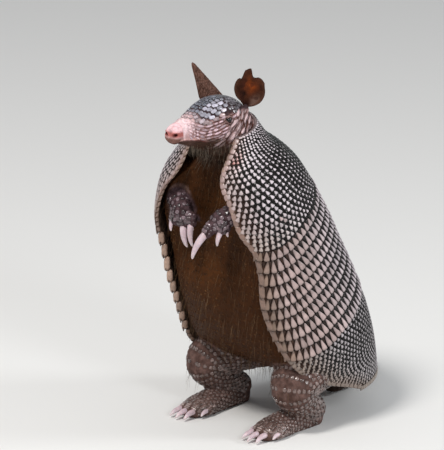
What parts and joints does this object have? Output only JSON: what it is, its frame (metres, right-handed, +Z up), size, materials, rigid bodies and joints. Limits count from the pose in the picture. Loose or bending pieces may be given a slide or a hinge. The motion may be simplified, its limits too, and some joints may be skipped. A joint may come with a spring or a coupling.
{
  "type": "nine-banded armadillo model",
  "caption": "Life-size still model of an armadillo standing up on its hind legs, forepaws held at the chest, armour in shields and bands, tail on the ground",
  "frame": {"origin": "middle of the model's bounding box on the floor it stands on", "axes": "+Z up, the animal faces -Y, its left side is +X"},
  "size_m": [0.3314, 0.35, 0.3665],
  "materials": {
    "shield_scutes": "semi-gloss horny scutes, pale rosettes on near-black",
    "band_scutes": "semi-gloss horny scutes, pale triangles on dark brown",
    "head_scutes": "glossy pale polygons with dark seams",
    "tail_scutes": "semi-gloss ringed scutes",
    "belly_skin": "matt dark brown skin with sparse pale hairs",
    "face_skin": "satin pink-brown wrinkled skin",
    "ear_skin": "satin brown pebbled skin",
    "paw_skin": "satin purplish grey scaly skin",
    "claw": "satin pinkish horn",
    "eye": "glossy black"
  },
  "bodies": {
    "root": {"trunk": "belly_skin", "neck": "face_skin", "head": "face_skin", "head_shield": "head_scutes", "ear_left": "ear_skin", "ear_right": "ear_skin", "eye_left": "eye", "eye_right": "eye", "scapular_shield": "shield_scutes", "band_1": "band_scutes", "band_2": "band_scutes", "band_3": "band_scutes", "band_4": "band_scutes", "band_5": "band_scutes", "band_6": "band_scutes", "band_7": "band_scutes", "band_8": "band_scutes", "band_9": "band_scutes", "pelvic_shield": "shield_scutes", "tail_base": "tail_scutes", "tail_mid": "tail_scutes", "tail_tip": "tail_scutes", "foreleg_left": "paw_skin", "forefoot_left": "paw_skin", "fore_claw_left_1": "claw", "fore_claw_left_2": "claw", "fore_claw_left_3": "claw", "fore_claw_left_4": "claw", "hindleg_left": "paw_skin", "hindfoot_left": "paw_skin", "hind_claw_left_1": "claw", "hind_claw_left_2": "claw", "hind_claw_left_3": "claw", "hind_claw_left_4": "claw", "hind_claw_left_5": "claw", "foreleg_right": "paw_skin", "forefoot_right": "paw_skin", "fore_claw_right_1": "claw", "fore_claw_right_2": "claw", "fore_claw_right_3": "claw", "fore_claw_right_4": "claw", "hindleg_right": "paw_skin", "hindfoot_right": "paw_skin", "hind_claw_right_1": "claw", "hind_claw_right_2": "claw", "hind_claw_right_3": "claw", "hind_claw_right_4": "claw", "hind_claw_right_5": "claw"}
  },
  "joints": []
}
